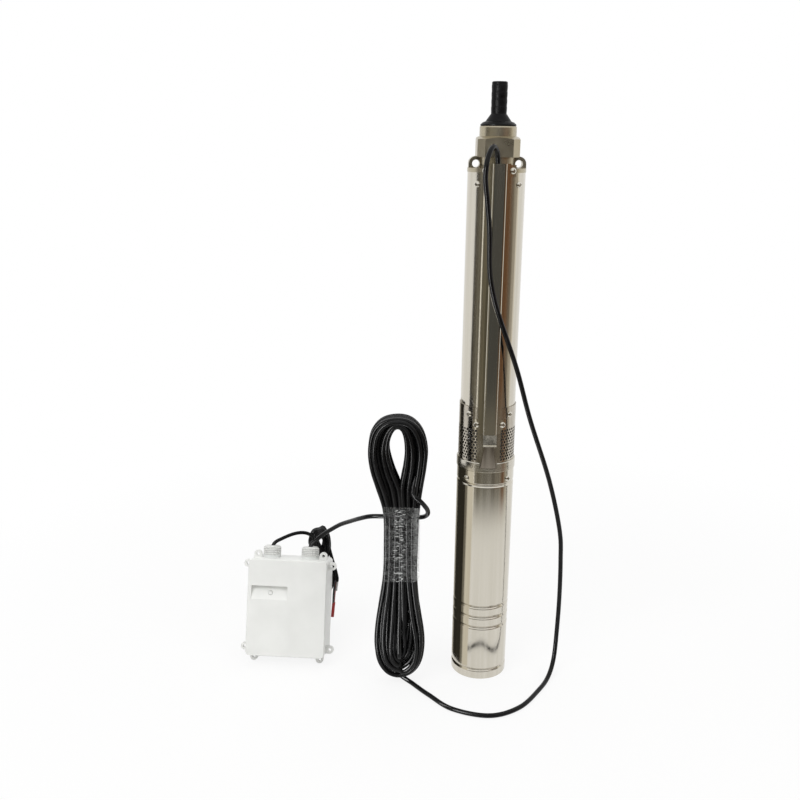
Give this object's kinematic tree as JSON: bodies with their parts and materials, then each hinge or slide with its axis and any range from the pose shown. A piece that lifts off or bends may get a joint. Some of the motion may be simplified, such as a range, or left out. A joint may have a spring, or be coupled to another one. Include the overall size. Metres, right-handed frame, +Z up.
{
  "type": "borehole submersible pump",
  "caption": "Slim stainless borehole pump standing upright, with barbed outlet, inlet strainer, cable guard, coiled supply cable and a white capacitor control box.",
  "frame": {"origin": "centre of the motor's flat base", "axes": "+Z up along the pump's axis to the outlet; the cable guard faces -Y; the box stands at -X"},
  "size_m": [0.4526, 0.2376, 0.7925],
  "materials": {
    "tube_steel": "polished stainless tube",
    "strainer_steel": "polished perforated stainless sheet",
    "guard_steel": "polished folded stainless sheet",
    "satin_nickel": "satin turned stainless",
    "screw_steel": "bright pan-head screws",
    "shaft_steel": "ground shaft",
    "bearing_steel": "bearing steel",
    "casting": "fine casting",
    "lamination": "stacked sheet",
    "copper": "enamelled winding wire",
    "black_plastic": "moulded",
    "stage_plastic": "moulded",
    "impeller_plastic": "moulded",
    "valve_rubber": "moulded",
    "seal_rubber": "moulded",
    "cable_rubber": "smooth sheath",
    "lead_rubber": "smooth sheath",
    "core_plastic": "insulated cores",
    "film": "clear stretch film",
    "box_white": "moulded, soft sheen",
    "gland_white": "moulded",
    "button_white": "moulded"
  },
  "bodies": {
    "casing": {"hose_tail": "black_plastic", "outlet_head": "satin_nickel", "top_bearing_carrier": "casting", "top_bearing_bush": "seal_rubber", "intake_bracket": "casting", "bracket_bolts": "screw_steel", "inlet_strainer": "strainer_steel", "pump_tube": "tube_steel", "cable_guard": "guard_steel", "guard_foot": "guard_steel", "riser_cable": "cable_rubber", "guard_screws": "screw_steel", "shell_screws": "screw_steel", "motor_screws": "screw_steel", "motor_flange": "satin_nickel", "shaft_seal": "seal_rubber", "upper_bearing": "bearing_steel", "motor_tube": "tube_steel", "stator_core": "lamination", "stator_winding": "copper", "lower_bearing": "bearing_steel", "lower_bearing_housing": "casting", "base_cap": "casting", "box_base": "box_white", "box_lid": "box_white", "lid_screws": "screw_steel", "gland_bodies": "gland_white", "gland_nuts": "gland_white", "run_capacitor": "black_plastic", "pump_cable": "cable_rubber", "cable_hank": "cable_rubber", "hank_wrap": "film", "box_cable": "cable_rubber", "mains_lead": "lead_rubber", "mains_hank": "lead_rubber", "core_ends": "core_plastic", "stage_bowl_1": "stage_plastic", "stage_bowl_2": "stage_plastic", "stage_bowl_3": "stage_plastic", "stage_bowl_4": "stage_plastic", "stage_bowl_5": "stage_plastic", "stage_bowl_6": "stage_plastic", "stage_bowl_7": "stage_plastic", "stage_bowl_8": "stage_plastic", "stage_bowl_9": "stage_plastic"},
    "rotor": {"motor_shaft": "shaft_steel", "rotor_core": "lamination", "shaft_coupling": "shaft_steel", "pump_shaft": "shaft_steel", "impeller_1": "impeller_plastic", "impeller_2": "impeller_plastic", "impeller_3": "impeller_plastic", "impeller_4": "impeller_plastic", "impeller_5": "impeller_plastic", "impeller_6": "impeller_plastic", "impeller_7": "impeller_plastic", "impeller_8": "impeller_plastic", "impeller_9": "impeller_plastic"},
    "valve": {"valve_poppet": "valve_rubber"},
    "button": {"reset_button": "button_white"}
  },
  "joints": [
    {"name": "rotor_spin", "type": "hinge", "parent": "casing", "child": "rotor", "pos_m": [0, 0, 0.2], "axis": [0, 0, 1], "continuous": true},
    {"name": "valve_lift", "type": "slide", "parent": "casing", "child": "valve", "axis": [0, 0, 1], "range_m": [0, 0.008]},
    {"name": "reset_press", "type": "slide", "parent": "casing", "child": "button", "axis": [0.068, 0.9486, -0.3092], "range_m": [0, 0.0025], "stiffness_N_per_m": 400, "springref_m": -0.001}
  ]
}
